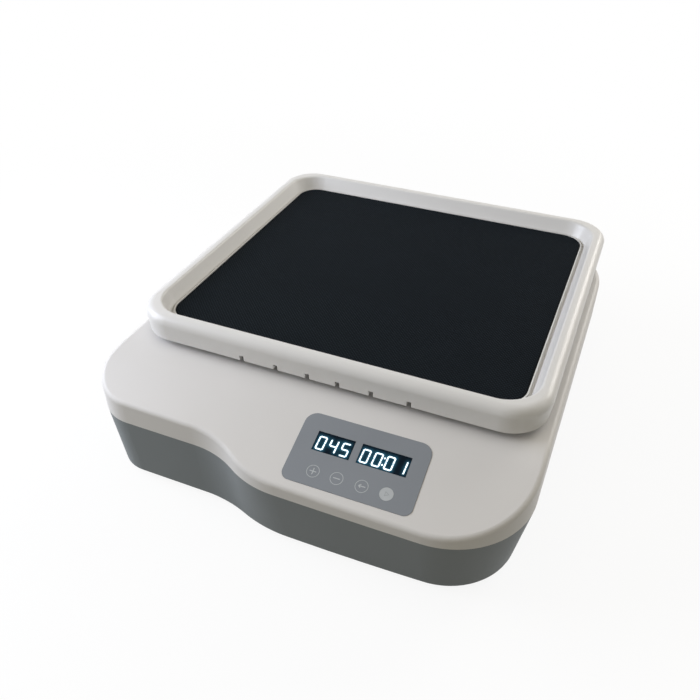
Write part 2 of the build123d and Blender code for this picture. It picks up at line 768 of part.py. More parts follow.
def switch():
    """Rocker switch: a bezel in the back wall, and a rocker on two stub pins in it."""
    body_depth = 9.0
    pocket_depth = 7.0
    flange = RectangleRounded(switch_width + 2 * bezel_border, switch_height + 2 * bezel_border, 2.0)
    box = RectangleRounded(switch_width, switch_height, 1.0)
    pocket = Rectangle(10.2, 15.4)
    bezel = extrude(rear_plane(switch_x) * flange, flange_thickness)
    bezel += extrude(rear_plane(switch_x, -body_depth) * box, body_depth)
    bezel -= extrude(rear_plane(switch_x, -pocket_depth) * pocket, pocket_depth + 3)
    pivot = rear_plane(switch_x, -rocker_pivot_depth)
    side_view = Plane(origin=pivot.origin, x_dir=pivot.y_dir, z_dir=pivot.x_dir)
    bezel -= extrude(side_view * Circle(rocker_pivot_radius + running_gap), 5.8, both=True)
    export("switch_bezel", bezel)
    # In side view the rocker is a shallow V, with its upper half pressed in
    half = 6.9
    tip = 3.3
    valley = 1.8
    keel = 2.2
    profile = Polyline(
        (-half, tip), (0, valley), (half, tip), (half, 0.2), (keel, -3.0), (-keel, -3.0), (-half, 0.2), close=True
    )
    paddle = extrude(make_face(profile), 4.8, both=True)
    paddle += extrude(Circle(rocker_pivot_radius), 5.6, both=True)
    export("power_rocker", side_view * (Rot(0, 0, -rocker_swing) * paddle))


def power_inlet():
    """Round low-voltage socket with its centre pin."""
    pin_root = inlet_depth - 1.0
    bore_depth = inlet_depth - 2.0
    socket = extrude(rear_plane(inlet_x) * Circle(inlet_flange_radius), flange_thickness)
    socket += extrude(rear_plane(inlet_x, -inlet_depth) * Circle(inlet_radius), inlet_depth)
    socket -= extrude(rear_plane(inlet_x, -bore_depth) * Circle(inlet_bore), bore_depth + 4)
    socket += extrude(rear_plane(inlet_x, -pin_root) * Circle(1.0), pin_root - 0.5)
    return socket


def speed_sensor():
    """Small sensor that hangs under the plate and looks at the driven pulley."""
    x = 25.0
    half_width = 5.0
    half_depth = 3.0
    low = pulley_z + pulley_height + 1.2
    return block(x - half_width, x + half_width, orbit_y - half_depth, orbit_y + half_depth, low, plate_z)


export("lower_housing", lower_housing())
export("top_cover", top_cover())
control_panel()
export("control_board", control_board())
chassis()
bearing_housing()
idler_supports()
motor()
export("drive_belt", belt())
drive_crank()
for place, (ix, iy) in idlers.items():
    export(f"idler_crank_{place}", idler_crank(ix, iy))
drive_plate()
export("tray", tray())
export("tray_screws", group(tray_screw(x, y) for x, y in tray_screw_spots))
export("mat", mat())
for place, (fx, fy) in feet.items():
    export(f"foot_{place}", foot(fx, fy))
export("foot_screws", group(screw(low_head_screw, 5.2, 1.6, x, y, down=-1) for x, y in feet.values()))
export("housing_screws", group(
    screw(machine_screw, cover_screw_length, cover_screw_seat, x, y, down=-1) for x, y in cover_screws
))
export("speed_sensor", speed_sensor())
switch()
export("power_inlet", power_inlet())
print("tray centre at rest, millimetres:", round(tray_x, 3), round(tray_y, 3))
print("back wall at the switch, millimetres:", round(rear_y, 3), "lean, degrees:", round(back_lean, 3))
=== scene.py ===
# Laboratory orbital shaker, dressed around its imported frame.
# Lengths named _mm are millimetres, and the others are metres.
import json
import bmesh
import bpy
from math import atan2, cos, exp, hypot, pi, radians, sin
from mathutils import Matrix, Vector


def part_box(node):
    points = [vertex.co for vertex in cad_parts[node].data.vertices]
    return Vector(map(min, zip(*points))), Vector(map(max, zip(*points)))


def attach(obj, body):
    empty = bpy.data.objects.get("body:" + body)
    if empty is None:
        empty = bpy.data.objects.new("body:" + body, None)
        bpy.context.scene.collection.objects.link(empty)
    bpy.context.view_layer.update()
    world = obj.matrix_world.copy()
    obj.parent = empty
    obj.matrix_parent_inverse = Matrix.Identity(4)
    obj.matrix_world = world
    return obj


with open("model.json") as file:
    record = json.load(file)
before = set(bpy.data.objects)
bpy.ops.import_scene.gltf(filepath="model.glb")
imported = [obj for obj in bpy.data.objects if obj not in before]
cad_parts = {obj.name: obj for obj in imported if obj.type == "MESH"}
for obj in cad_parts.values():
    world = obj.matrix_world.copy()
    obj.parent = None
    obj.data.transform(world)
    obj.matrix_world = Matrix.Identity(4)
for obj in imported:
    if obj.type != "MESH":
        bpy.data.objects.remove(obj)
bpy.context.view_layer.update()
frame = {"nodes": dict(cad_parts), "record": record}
MM = 0.001

# Camera at the photograph's viewing angle
camera_spot = Vector((0.1337, -0.3478, 0.3184))
camera_direction = Vector((-0.3139, 0.7332, -0.6032))
camera = bpy.data.objects.new("camera", bpy.data.cameras.new("camera"))
camera.location = camera_spot
camera.rotation_euler = camera_direction.to_track_quat("-Z", "Y").to_euler()
camera.data.sensor_width = 36.0
camera.data.lens = 37.57
bpy.context.scene.collection.objects.link(camera)
bpy.context.scene.camera = camera
bpy.context.scene.view_settings.view_transform = "Standard"


def linear(hex_colour):
    """An sRGB hex colour as linear RGBA."""
    channels = [int(hex_colour[i:i + 2], 16) / 255 for i in (1, 3, 5)]
    return tuple(c / 12.92 if c <= 0.04045 else ((c + 0.055) / 1.055) ** 2.4 for c in channels) + (1.0,)


def add(tree, kind, inputs=None, **settings):
    """Adds one node to a tree, with its settings, its constants and its links."""
    made = tree.nodes.new(kind)
    for key, value in settings.items():
        setattr(made, key, value)
    for key, value in (inputs or {}).items():
        if isinstance(value, bpy.types.NodeSocket):
            tree.links.new(value, made.inputs[key])
        else:
            made.inputs[key].default_value = value
    return made


# Studio: a wide pale floor, an even sky, a window on the left, a ceiling lamp, and weaker lamps right and
# behind. Each lamp is a square soft box: place, aim, width, power and colour.
WHITE = (1.0, 1.0, 1.0, 1.0)
full_white = 1.0         # the strength at which a background is plain white
sky_strength = 0.3       # what the sky gives the object, in shares of white
floor_half = 4.0
shadow_fade = (0.16, 0.60)       # distances from the middle over which the floor turns white
floor_whiteness = (0.9, 1.0)     # how much of the floor is plain white there, and the rest takes the shadow
LAMPS = {
    "ceiling_light": ((-0.12, -0.32, 1.1), (0.0, 0.0, 0.06), 0.9, 1.5, "#FFF3DC"),
    "window_light": ((-0.61, -0.20, 0.36), (0.0, 0.0, 0.06), 0.45, 4.8, "#EAF0FF"),
    "side_light": ((0.72, 0.22, 0.55), (0.10, 0.0, 0.07), 0.4, 0.5, "#F4F7FF"),
    "back_light": ((0.46, 0.71, 0.49), (0.08, 0.0, 0.07), 0.42, 3.2, "#FFFCF8"),
}


def shown_to(tree, rays, eye, others):
    """One shader for what the eye sees, in gloss and through glass too, and another for the light."""
    seen = add(tree, "ShaderNodeMath", {0: rays.outputs["Is Camera Ray"], 1: rays.outputs["Is Glossy Ray"]},
               operation="MAXIMUM")
    seen = add(tree, "ShaderNodeMath", {0: seen.outputs[0], 1: rays.outputs["Is Transmission Ray"]},
               operation="MAXIMUM")
    return add(tree, "ShaderNodeMixShader", {0: seen.outputs[0], 1: others.outputs[0], 2: eye.outputs[0]})


def world_light():
    """Even ambient light. The camera sees white where the floor ends."""
    world = bpy.data.worlds.new("studio")
    bpy.context.scene.world = world
    world.use_nodes = True
    tree = world.node_tree
    tree.nodes.clear()
    rays = add(tree, "ShaderNodeLightPath")
    ambient = add(tree, "ShaderNodeBackground", {"Color": linear("#FFFAEC"), "Strength": sky_strength})
    white = add(tree, "ShaderNodeBackground", {"Color": WHITE, "Strength": full_white})
    shown = shown_to(tree, rays, white, ambient)
    add(tree, "ShaderNodeOutputWorld", {"Surface": shown.outputs[0]})


def lamp(name, spot, aim, size, power, colour):
    """A square soft box that looks at a point."""
    light = bpy.data.lights.new(name, "AREA")
    light.size = size
    light.energy = power
    light.color = linear(colour)[:3]
    made = bpy.data.objects.new(name, light)
    made.location = spot
    made.rotation_euler = (Vector(aim) - Vector(spot)).to_track_quat("-Z", "Y").to_euler()
    bpy.context.scene.collection.objects.link(made)


def studio_floor():
    """Pale floor that keeps the object's shadow, and turns white away from it, so that no horizon shows."""
    bm = bmesh.new()
    bmesh.ops.create_grid(bm, x_segments=1, y_segments=1, size=floor_half)
    mesh = bpy.data.meshes.new("floor")
    bm.to_mesh(mesh)
    bm.free()
    floor = bpy.data.objects.new("floor", mesh)
    bpy.context.scene.collection.objects.link(floor)
    paint = bpy.data.materials.new("pale floor")
    paint.use_nodes = True
    tree = paint.node_tree
    tree.nodes.clear()
    rays = add(tree, "ShaderNodeLightPath")
    bounce = add(tree, "ShaderNodeBsdfDiffuse", {"Color": linear("#969284")})
    lit = add(tree, "ShaderNodeBsdfDiffuse", {"Color": WHITE})
    glow = add(tree, "ShaderNodeEmission", {"Color": WHITE, "Strength": full_white})
    place = add(tree, "ShaderNodeTexCoord")
    away = add(tree, "ShaderNodeVectorMath", {0: place.outputs["Object"]}, operation="LENGTH")
    white_share = add(tree, "ShaderNodeMapRange", {
        "Value": away.outputs["Value"], "From Min": shadow_fade[0], "From Max": shadow_fade[1],
        "To Min": floor_whiteness[0], "To Max": floor_whiteness[1]}, interpolation_type="SMOOTHSTEP")
    seen = add(tree, "ShaderNodeMixShader", {
        0: white_share.outputs[0], 1: lit.outputs[0], 2: glow.outputs[0]})
    shown = shown_to(tree, rays, seen, bounce)
    add(tree, "ShaderNodeOutputMaterial", {"Surface": shown.outputs[0]})
    mesh.materials.append(paint)


world_light()
studio_floor()
for lamp_name, lamp_values in LAMPS.items():
    lamp(lamp_name, *lamp_values)


def new_material(name):
    """A new material, its node tree and its object coordinates."""
    made = bpy.data.materials.new(name)
    made.use_nodes = True
    tree = made.node_tree
    tree.nodes.clear()
    place = add(tree, "ShaderNodeTexCoord").outputs["Object"]
    return made, tree, place


def surface(tree, inputs):
    """Ends a tree with its principled surface."""
    shader = add(tree, "ShaderNodeBsdfPrincipled", inputs)
    add(tree, "ShaderNodeOutputMaterial", {"Surface": shader.outputs[0]})


def between(tree, share, dark, light):
    """A colour between two, by a share from 0 to 1."""
    mixed = add(tree, "ShaderNodeMix", {0: share, 6: linear(dark), 7: linear(light)}, data_type="RGBA")
    return mixed.outputs[2]


def cells(size_mm):
    """Texture scale that gives one feature in each size_mm of Object coordinates."""
    return 1.0 / (size_mm * MM)


def bands(pitch_mm):
    """Wave texture scale that gives one band in each pitch_mm of Object coordinates."""
    return 2 * pi / (20.0 * pitch_mm * MM)


def moulded_abs(name, light, dark, roughness, grain_mm, relief, specular):
    """Injection-moulded ABS with an etched grain: soft wide highlights, and a slight cloudiness of tone."""
    made, tree, place = new_material(name)
    cloud = add(tree, "ShaderNodeTexNoise", {"Vector": place, "Scale": cells(70.0), "Detail": 2.0})
    etch = add(tree, "ShaderNodeTexNoise", {"Vector": place, "Scale": cells(grain_mm), "Detail": 3.0})
    gloss = add(tree, "ShaderNodeMapRange", {"Value": etch.outputs["Fac"], "To Min": roughness - 0.05,
                                             "To Max": roughness + 0.05})
    bump = add(tree, "ShaderNodeBump", {
        "Height": etch.outputs["Fac"], "Strength": relief, "Distance": 0.05 * MM})
    surface(tree, {
        "Base Color": between(tree, cloud.outputs["Fac"], dark, light), "Roughness": gloss.outputs[0],
        "IOR": 1.53, "Specular IOR Level": specular, "Normal": bump.outputs[0]})
    return made


def printed_film():
    """Velvet polycarbonate film, printed grey on its back: an even tone under a fine soft grain."""
    made, tree, place = new_material("velvet polycarbonate film")
    grain = add(tree, "ShaderNodeTexNoise", {"Vector": place, "Scale": cells(0.45), "Detail": 2.0})
    cloud = add(tree, "ShaderNodeTexNoise", {"Vector": place, "Scale": cells(30.0)})
    bump = add(tree, "ShaderNodeBump", {
        "Height": grain.outputs["Fac"], "Strength": 0.25, "Distance": 0.03 * MM})
    surface(tree, {"Base Color": between(tree, cloud.outputs["Fac"], "#80858B", "#8A8F95"), "Roughness": 0.48,
                   "IOR": 1.58, "Specular IOR Level": 0.3, "Normal": bump.outputs[0]})
    return made


def smoked_acrylic(name, glowing=False):
    """Smoked acrylic window: nearly black blue, with faint wiping marks in its gloss.
    Where digits shine behind it, their light spreads in it as far as the attribute says."""
    made, tree, place = new_material(name)
    smear = add(tree, "ShaderNodeTexNoise", {"Vector": place, "Scale": cells(9.0), "Detail": 4.0})
    gloss = add(tree, "ShaderNodeMapRange", {"Value": smear.outputs["Fac"], "To Min": 0.12, "To Max": 0.24})
    inputs = {
        "Base Color": between(tree, smear.outputs["Fac"], "#030F1B", "#061624"), "Roughness": gloss.outputs[0],
        "IOR": 1.49, "Specular IOR Level": 0.04}
    if glowing:
        spread = add(tree, "ShaderNodeAttribute", attribute_name="spread")
        power = add(tree, "ShaderNodeMath", {
            0: spread.outputs["Fac"], 1: glow_strength}, operation="MULTIPLY")
        inputs["Emission Color"] = linear("#4FB2DA")
        inputs["Emission Strength"] = power.outputs[0]
    surface(tree, inputs)
    return made


def opal_diffuser():
    """Opal diffuser over a lamp that is off: pale, even and slightly cloudy."""
    made, tree, place = new_material("opal key diffuser")
    cloud = add(tree, "ShaderNodeTexNoise", {"Vector": place, "Scale": cells(3.0)})
    surface(tree, {"Base Color": between(tree, cloud.outputs["Fac"], "#B2B7BA", "#C0C4C6"), "Roughness": 0.45,
                   "IOR": 1.5, "Specular IOR Level": 0.4})
    return made


def calendered_rubber(name, dark, light, dots_and_painted_glint):
    """Calendered rubber: nearly black with a cool tinge. On the ribs, fine cross cuts leave rows of dots, and
    their pale colour is a painted highlight where the dots catch the light. The real mat's cuts are about half
    as far apart, too fine to show, so they are drawn coarser."""
    made, tree, place = new_material(name)
    turned = add(tree, "ShaderNodeMapping", {"Vector": place, "Rotation": (0, 0, cut_turn)})
    cuts = add(tree, "ShaderNodeTexWave", {"Vector": turned.outputs[0], "Scale": bands(cut_pitch_mm)},
               wave_type="BANDS", bands_direction="X", wave_profile="SIN")
    dust = add(tree, "ShaderNodeTexNoise", {"Vector": place, "Scale": cells(14.0), "Detail": 3.0})
    # The pale cut bands are a painted highlight on the dots; the dust noise is the rubber's own random tone.
    share = add(tree, "ShaderNodeMix", {
        0: dots_and_painted_glint, 2: dust.outputs["Fac"], 3: cuts.outputs["Fac"]}, data_type="FLOAT")
    bump = add(tree, "ShaderNodeBump", {
        "Height": cuts.outputs["Fac"], "Strength": 0.5 * dots_and_painted_glint, "Distance": 0.2 * MM})
    surface(tree, {"Base Color": between(tree, share.outputs[0], dark, light), "Roughness": 0.66, "IOR": 1.5,
                   "Specular IOR Level": 0.05, "Normal": bump.outputs[0]})
    return made


def moulded_rubber(name, colour, worn):
    """Moulded rubber: dark, dull and a little dusty."""
    made, tree, place = new_material(name)
    dust = add(tree, "ShaderNodeTexNoise", {"Vector": place, "Scale": cells(4.0), "Detail": 4.0})
    bump = add(tree, "ShaderNodeBump", {"Height": dust.outputs["Fac"], "Strength": 0.3, "Distance": 0.1 * MM})
    surface(tree, {
        "Base Color": between(tree, dust.outputs["Fac"], colour, worn), "Roughness": 0.75, "IOR": 1.5,
        "Specular IOR Level": 0.3, "Normal": bump.outputs[0]})
    return made


def bare_metal(name, light, dark, roughness, grain_mm, stretch):
    """Bare metal with its working marks: a grain stretched along the cut, which also roughens its gloss."""
    made, tree, place = new_material(name)
    drawn = add(tree, "ShaderNodeMapping", {"Vector": place, "Scale": stretch})
    marks = add(tree, "ShaderNodeTexNoise", {
        "Vector": drawn.outputs[0], "Scale": cells(grain_mm), "Detail": 3.0})
    gloss = add(tree, "ShaderNodeMapRange", {"Value": marks.outputs["Fac"], "To Min": roughness - 0.08,
                                             "To Max": roughness + 0.08})
    bump = add(tree, "ShaderNodeBump", {
        "Height": marks.outputs["Fac"], "Strength": 0.2, "Distance": 0.03 * MM})
    surface(tree, {"Base Color": between(tree, marks.outputs["Fac"], dark, light), "Metallic": 1.0,
                   "Roughness": gloss.outputs[0], "Normal": bump.outputs[0]})
    return made


def zinc_plate():
    """Zinc-plated sheet steel: a mosaic of crystals, each with its own shade."""
    made, tree, place = new_material("zinc-plated sheet steel")
    crystal = add(tree, "ShaderNodeTexVoronoi", {"Vector": place, "Scale": cells(5.0)})
    gloss = add(tree, "ShaderNodeMapRange", {
        "Value": crystal.outputs["Distance"], "To Min": 0.28, "To Max": 0.45})
    surface(tree, {
        "Base Color": between(tree, crystal.outputs["Distance"], "#B9BCBE", "#CFD1D2"), "Metallic": 1.0,
        "Roughness": gloss.outputs[0]})
    return made


def circuit_laminate():
    """Glass-epoxy board under green solder mask, with lighter copper runs that show through."""
    made, tree, place = new_material("solder-masked circuit board")
    runs = add(tree, "ShaderNodeTexBrick", {
        "Vector": place, "Color1": linear("#0E5A30"), "Color2": linear("#126B39"),
        "Mortar": linear("#2B8A52"), "Scale": cells(6.0), "Mortar Size": 0.03})
    surface(tree, {"Base Color": runs.outputs["Color"], "Roughness": 0.35, "IOR": 1.55})
    return made


def coated_steel():
    """Black-coated steel can: a fine orange peel in a half-matt lacquer."""
    made, tree, place = new_material("black-coated steel")
    peel = add(tree, "ShaderNodeTexNoise", {"Vector": place, "Scale": cells(1.2), "Detail": 2.0})
    bump = add(tree, "ShaderNodeBump", {
        "Height": peel.outputs["Fac"], "Strength": 0.3, "Distance": 0.05 * MM})
    surface(tree, {"Base Color": between(tree, peel.outputs["Fac"], "#1E2022", "#2C2E30"), "Roughness": 0.4,
                   "IOR": 1.5, "Normal": bump.outputs[0]})
    return made


def display_light(name, colour, strength):
    """Light from a segment of the display, even over its face with slightly softer spots."""
    made, tree, place = new_material(name)
    spots = add(tree, "ShaderNodeTexNoise", {"Vector": place, "Scale": cells(1.5)})
    power = add(tree, "ShaderNodeMapRange", {"Value": spots.outputs["Fac"], "To Min": 0.94 * strength,
                                             "To Max": 1.04 * strength})
    surface(tree, {"Base Color": linear(colour), "Roughness": 0.5, "Emission Color": linear(colour),
                   "Emission Strength": power.outputs[0]})
    return made


def printed_ink(name, light, dark):
    """Screen-printed ink: opaque and dull, thinner here and there."""
    made, tree, place = new_material(name)
    thin = add(tree, "ShaderNodeTexNoise", {"Vector": place, "Scale": cells(0.9), "Detail": 3.0})
    surface(tree, {
        "Base Color": between(tree, thin.outputs["Fac"], dark, light), "Roughness": 0.6, "IOR": 1.5})
    return made


glow_strength = 0.3
cut_pitch_mm = 1.5
cut_turn = radians(45)
finishes = {
    "cover_white": moulded_abs("white satin ABS", "#E1DFDD", "#DAD8D5", 0.44, 0.8, 0.12, 0.25),
    "tray_white": moulded_abs("white semi-gloss ABS", "#E3E2E0", "#DCDBD9", 0.3, 0.8, 0.05, 0.4),
    "housing_grey": moulded_abs("grey etched ABS", "#868C8F", "#7D8386", 0.52, 1.0, 0.25, 0.14),
    "overlay_grey": printed_film(),
    "window_dark": smoked_acrylic("smoked acrylic"),
    "key_light": opal_diffuser(),
    "display_module": moulded_abs("potted display module", "#1B2026", "#12161B", 0.35, 1.5, 0.1, 0.4),
    "mat_black": calendered_rubber("calendered rubber mat", "#03070B", "#080D12", 0.0),
    "belt_rubber": moulded_rubber("ribbed belt rubber", "#111111", "#1B1B1B"),
    "foot_rubber": moulded_rubber("moulded foot rubber", "#161616", "#242424"),
    "circuit_board": circuit_laminate(),
    "zinc_steel": zinc_plate(),
    "bright_steel": bare_metal("ground shaft steel", "#D2D3D4", "#BFC0C2", 0.22, 0.8, (1, 1, 0.1)),
    "alloy": bare_metal("machined aluminium", "#D6D7D8", "#C4C6C8", 0.32, 1.2, (1, 1, 0.15)),
    "bearing_steel": bare_metal("polished bearing steel", "#CBCDCF", "#B8BABC", 0.16, 1.0, (1, 1, 0.1)),
    "screw_steel": bare_metal("zinc-plated screw steel", "#C6C8CA", "#AEB0B2", 0.30, 0.7, (1, 1, 1)),
    "motor_steel": coated_steel(),
    "fitting_black": moulded_abs("black moulded nylon", "#191A1B", "#101112", 0.42, 0.7, 0.2, 0.4),
}
for part in frame["record"]["subparts"]:
    holder = frame["nodes"][part["node"]]
    if not holder.material_slots:
        holder.data.materials.append(None)
    for place in holder.material_slots:
        place.material = finishes[part["material_slot"]]


def piece(bm, name, material, body, place=Matrix.Identity(4)):
    """Turns a bmesh into a finished piece at the origin that rides on a body."""
    bmesh.ops.transform(bm, matrix=place, verts=bm.verts)
    mesh = bpy.data.meshes.new(name)
    bm.to_mesh(mesh)
    bm.free()
    mesh.materials.append(material)
    made = bpy.data.objects.new(name, mesh)
    bpy.context.scene.collection.objects.link(made)
    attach(made, body)


def raise_faces(bm, faces, height):
    """Gives flat faces a thickness upwards."""
    raised = bmesh.ops.extrude_face_region(bm, geom=faces)
    tops = [v for v in raised["geom"] if isinstance(v, bmesh.types.BMVert)]
    bmesh.ops.translate(bm, verts=tops, vec=(0, 0, height))
    bmesh.ops.recalc_face_normals(bm, faces=bm.faces)


def bar(bm, middle, length, width, turn):
    """A flat bar that lies along Y before it is turned."""
    made = bmesh.ops.create_grid(bm, x_segments=1, y_segments=1, size=0.5)
    bmesh.ops.scale(bm, verts=made["verts"], vec=(width, length, 1))
    place = Matrix.Translation((*middle, 0)) @ Matrix.Rotation(turn, 4, "Z")
    bmesh.ops.transform(bm, matrix=place, verts=made["verts"])
    return made


def ring(bm, radius, stroke, sides):
    """A flat ring, or with three sides the outline of a triangle."""
    for reach in (radius, radius - stroke):
        bmesh.ops.create_circle(bm, cap_ends=False, segments=sides, radius=reach)
    bmesh.ops.bridge_loops(bm, edges=list(bm.edges))


# The control panel's own plane, in millimetres from its middle. The sheet stands just proud of the apron.
apron_angle = radians(18.5)
apron_turn = radians(3.0)
panel_turn = radians(0.8)
panel_spot_mm = Vector((37.0, -112.9, 57.41))
sheet_proud_mm = 0.2
panel_normal = Vector((
    sin(apron_angle) * sin(apron_turn), -sin(apron_angle) * cos(apron_turn), cos(apron_angle)))
panel_across = Vector((cos(panel_turn), sin(panel_turn), 0))
panel_across = (panel_across - panel_normal * panel_across.dot(panel_normal)).normalized()
panel_up = panel_normal.cross(panel_across)
panel_axes = Matrix((panel_across, panel_up, panel_normal)).transposed().to_4x4()
panel_top = Matrix.Translation((panel_spot_mm + panel_normal * sheet_proud_mm) * MM)
panel = panel_top @ panel_axes @ Matrix.Scale(MM, 4)

# The places of windows and keys on the panel
window_middles_mm = {"speed": (-14.5, 4.6), "timer": (12.4, 4.6)}
window_widths_mm = {"speed": 20.1, "timer": 25.9}
window_height_mm = 10.9
key_row_mm = -11.8
key_places_mm = {"plus": -18.9, "minus": -6.3, "set": 6.8, "start": 19.5}
key_radius_mm = 3.35

# Seven-segment digits, which sit a little low in their windows
digit_height_mm = 7.8
digit_width_mm = 4.4
digit_pitch_mm = 6.4
digit_drop_mm = 0.75
digit_lean = 0.05
stroke_mm = 0.78
stroke_overlap = 0.1     # how much longer a segment is than the way between corners, in strokes
colon_reach_mm = 1.9
colon_radius_mm = 0.5
colon_sides = 12
glow_reach_mm = 0.62     # the distance over which the light around a segment falls to about a third
most_glow = 1.4          # the limit, where the light of several segments meets
print_height_mm = 0.03
film_lift_mm = 0.01
SEGMENTS = {"0": "abcdef", "1": "bc", "4": "bcfg", "5": "acdfg"}
digit_shear = Matrix(((1, digit_lean, 0, 0), (0, 1, 0, -digit_drop_mm), (0, 0, 1, 0), (0, 0, 0, 1)))


def lit_segments(text):
    """Middle, length and direction of each lit segment of a reading."""
    half_width = (digit_width_mm - stroke_mm) / 2
    half_height = (digit_height_mm - stroke_mm) / 2
    across = 2 * half_width + stroke_overlap * stroke_mm
    up = half_height + stroke_overlap * stroke_mm
    digits = text.replace(":", "")
    found = []
    for i, character in enumerate(digits):
        x = (i - (len(digits) - 1) / 2) * digit_pitch_mm
        left = x - half_width
        right = x + half_width
        spots = {
            "a": (x, half_height, across, False),
            "b": (right, half_height / 2, up, True),
            "c": (right, -half_height / 2, up, True),
            "d": (x, -half_height, across, False),
            "e": (left, -half_height / 2, up, True),
            "f": (left, half_height / 2, up, True),
            "g": (x, 0, across, False),
        }
        found += [spots[key] for key in SEGMENTS[character]]
    return found


def segment(bm, x, y, length, upright):
    """One six-sided segment of a digit, as a flat face with a point at each end."""
    start_on_x = Matrix.Rotation(pi / 2, 4, "Z")
    made = bmesh.ops.create_circle(bm, cap_ends=True, segments=6, radius=1.0, matrix=start_on_x)
    ends = sorted(made["verts"], key=lambda v: abs(v.co.y))
    for i, vertex in enumerate(ends):
        side = 1 if vertex.co.x > 0 else -1
        reach = length / 2 if i < 2 else (length - stroke_mm) / 2
        vertex.co.x = side * reach
        vertex.co.y = 0.0 if i < 2 else stroke_mm / 2 * (1 if vertex.co.y > 0 else -1)
    turn = Matrix.Rotation(pi / 2 if upright else 0.0, 4, "Z")
    bmesh.ops.transform(bm, matrix=Matrix.Translation((x, y, 0)) @ turn, verts=made["verts"])


def spread_light(spot, segments):
    """How strongly the segments' light shows in the window at a spot."""
    total = 0.0
    for x, y, length, upright in segments:
        run = (length - stroke_mm) / 2
        along, aside = (spot.y - y, spot.x - x) if upright else (spot.x - x, spot.y - y)
        away = hypot(max(abs(along) - run, 0.0), aside)
        total += exp(-away / glow_reach_mm)
    return min(total, most_glow)


digit_ink = display_light("cold white display light", "#E6F6FF", 1.0)
glowing_window = smoked_acrylic("smoked acrylic over the digits", glowing=True)
window_cells = 4         # across each millimetre, fine enough for the glow's edge
for window, text in (("speed", "045"), ("timer", "00:01")):
    middle = Matrix.Translation((*window_middles_mm[window], 0))
    segments = lit_segments(text)
    lit = bmesh.new()
    for spot in segments:
        segment(lit, *spot)
    if ":" in text:
        for y in (-colon_reach_mm, colon_reach_mm):
            bmesh.ops.create_circle(lit, cap_ends=True, segments=colon_sides, radius=colon_radius_mm,
                                    matrix=Matrix.Translation((0, y, 0)))
            segments.append((0, y, stroke_mm, False))
    raise_faces(lit, list(lit.faces), print_height_mm)
    lift = Matrix.Translation((0, 0, 2 * film_lift_mm))
    piece(lit, f"{window}_digits", digit_ink, "base", panel @ middle @ lift @ digit_shear)
    width = window_widths_mm[window]
    film = bmesh.new()
    bmesh.ops.create_grid(film, x_segments=int(width * window_cells),
                          y_segments=int(window_height_mm * window_cells), size=0.5)
    bmesh.ops.scale(film, verts=film.verts, vec=(width, window_height_mm, 1))
    raise_faces(film, list(film.faces), film_lift_mm)
    spread = film.verts.layers.float.new("spread")
    unlean = digit_shear.inverted()
    for vertex in film.verts:
        vertex[spread] = spread_light(unlean @ vertex.co, segments)
    piece(film, f"{window}_window_glow", glowing_window, "base", panel @ middle)

# Key marks: thin rings with a plus, a minus and an arrow, and the outline of a triangle on the start key
key_ink = printed_ink("pale printed ink", "#C4C8CA", "#AEB3B5")
ring_stroke_mm = 0.28
ring_sides = 48
mark_stroke_mm = 0.5
mark_layer_mm = 0.004    # between crossing bars, so that their faces don't lie in one plane
mark_length_mm = 3.6
shaft_length_mm = 3.4
barb_length_mm = 1.5
triangle_reach_mm = 1.5
MARKS = {                # middle, length and turn of each bar
    "plus": [((0, 0), mark_length_mm, 0.0), ((0, 0), mark_length_mm, pi / 2)],
    "minus": [((0, 0), mark_length_mm, pi / 2)],
    "set": [((0.2, 0), shaft_length_mm, pi / 2), ((-1.0, 0.45), barb_length_mm, radians(-45)),
            ((-1.0, -0.45), barb_length_mm, radians(45))],
}
for key, bars in MARKS.items():
    bm = bmesh.new()
    ring(bm, key_radius_mm, ring_stroke_mm, ring_sides)
    for i, (middle, length, turn) in enumerate(bars):
        made = bar(bm, middle, length, mark_stroke_mm, turn)
        bmesh.ops.translate(bm, verts=made["verts"], vec=(0, 0, i * mark_layer_mm))
    raise_faces(bm, list(bm.faces), print_height_mm)
    spot = panel @ Matrix.Translation((key_places_mm[key], key_row_mm, 0))
    piece(bm, f"{key}_key_mark", key_ink, "base", spot)
bm = bmesh.new()
ring(bm, triangle_reach_mm, mark_stroke_mm, 3)
point_right = Matrix.Rotation(radians(-90), 3, "Z")
bmesh.ops.rotate(bm, verts=bm.verts, matrix=point_right, cent=(0, 0, 0))
raise_faces(bm, list(bm.faces), print_height_mm)
spot = panel @ Matrix.Translation((key_places_mm["start"], key_row_mm, 0))
piece(bm, "start_key_mark", printed_ink("start mark ink", "#A3A8AB", "#989DA0"), "base", spot)


# Mat ribs, which run diagonally over the whole mat
mat_low, mat_high = (Vector(corner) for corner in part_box("mat"))
mat_middle = (mat_low + mat_high) / 2
rib_pitch = 1.4 * MM
rib_height = 0.22 * MM
rib_width = 0.9 * MM
rib_crest = 0.45         # the crest's share of the rib's width
rib_margin = 1.2 * MM
mat_corner = 13.2 * MM
corner_cuts = 6
rib_turn = radians(-45)
most_sides = 8           # a rib's cut end has no more


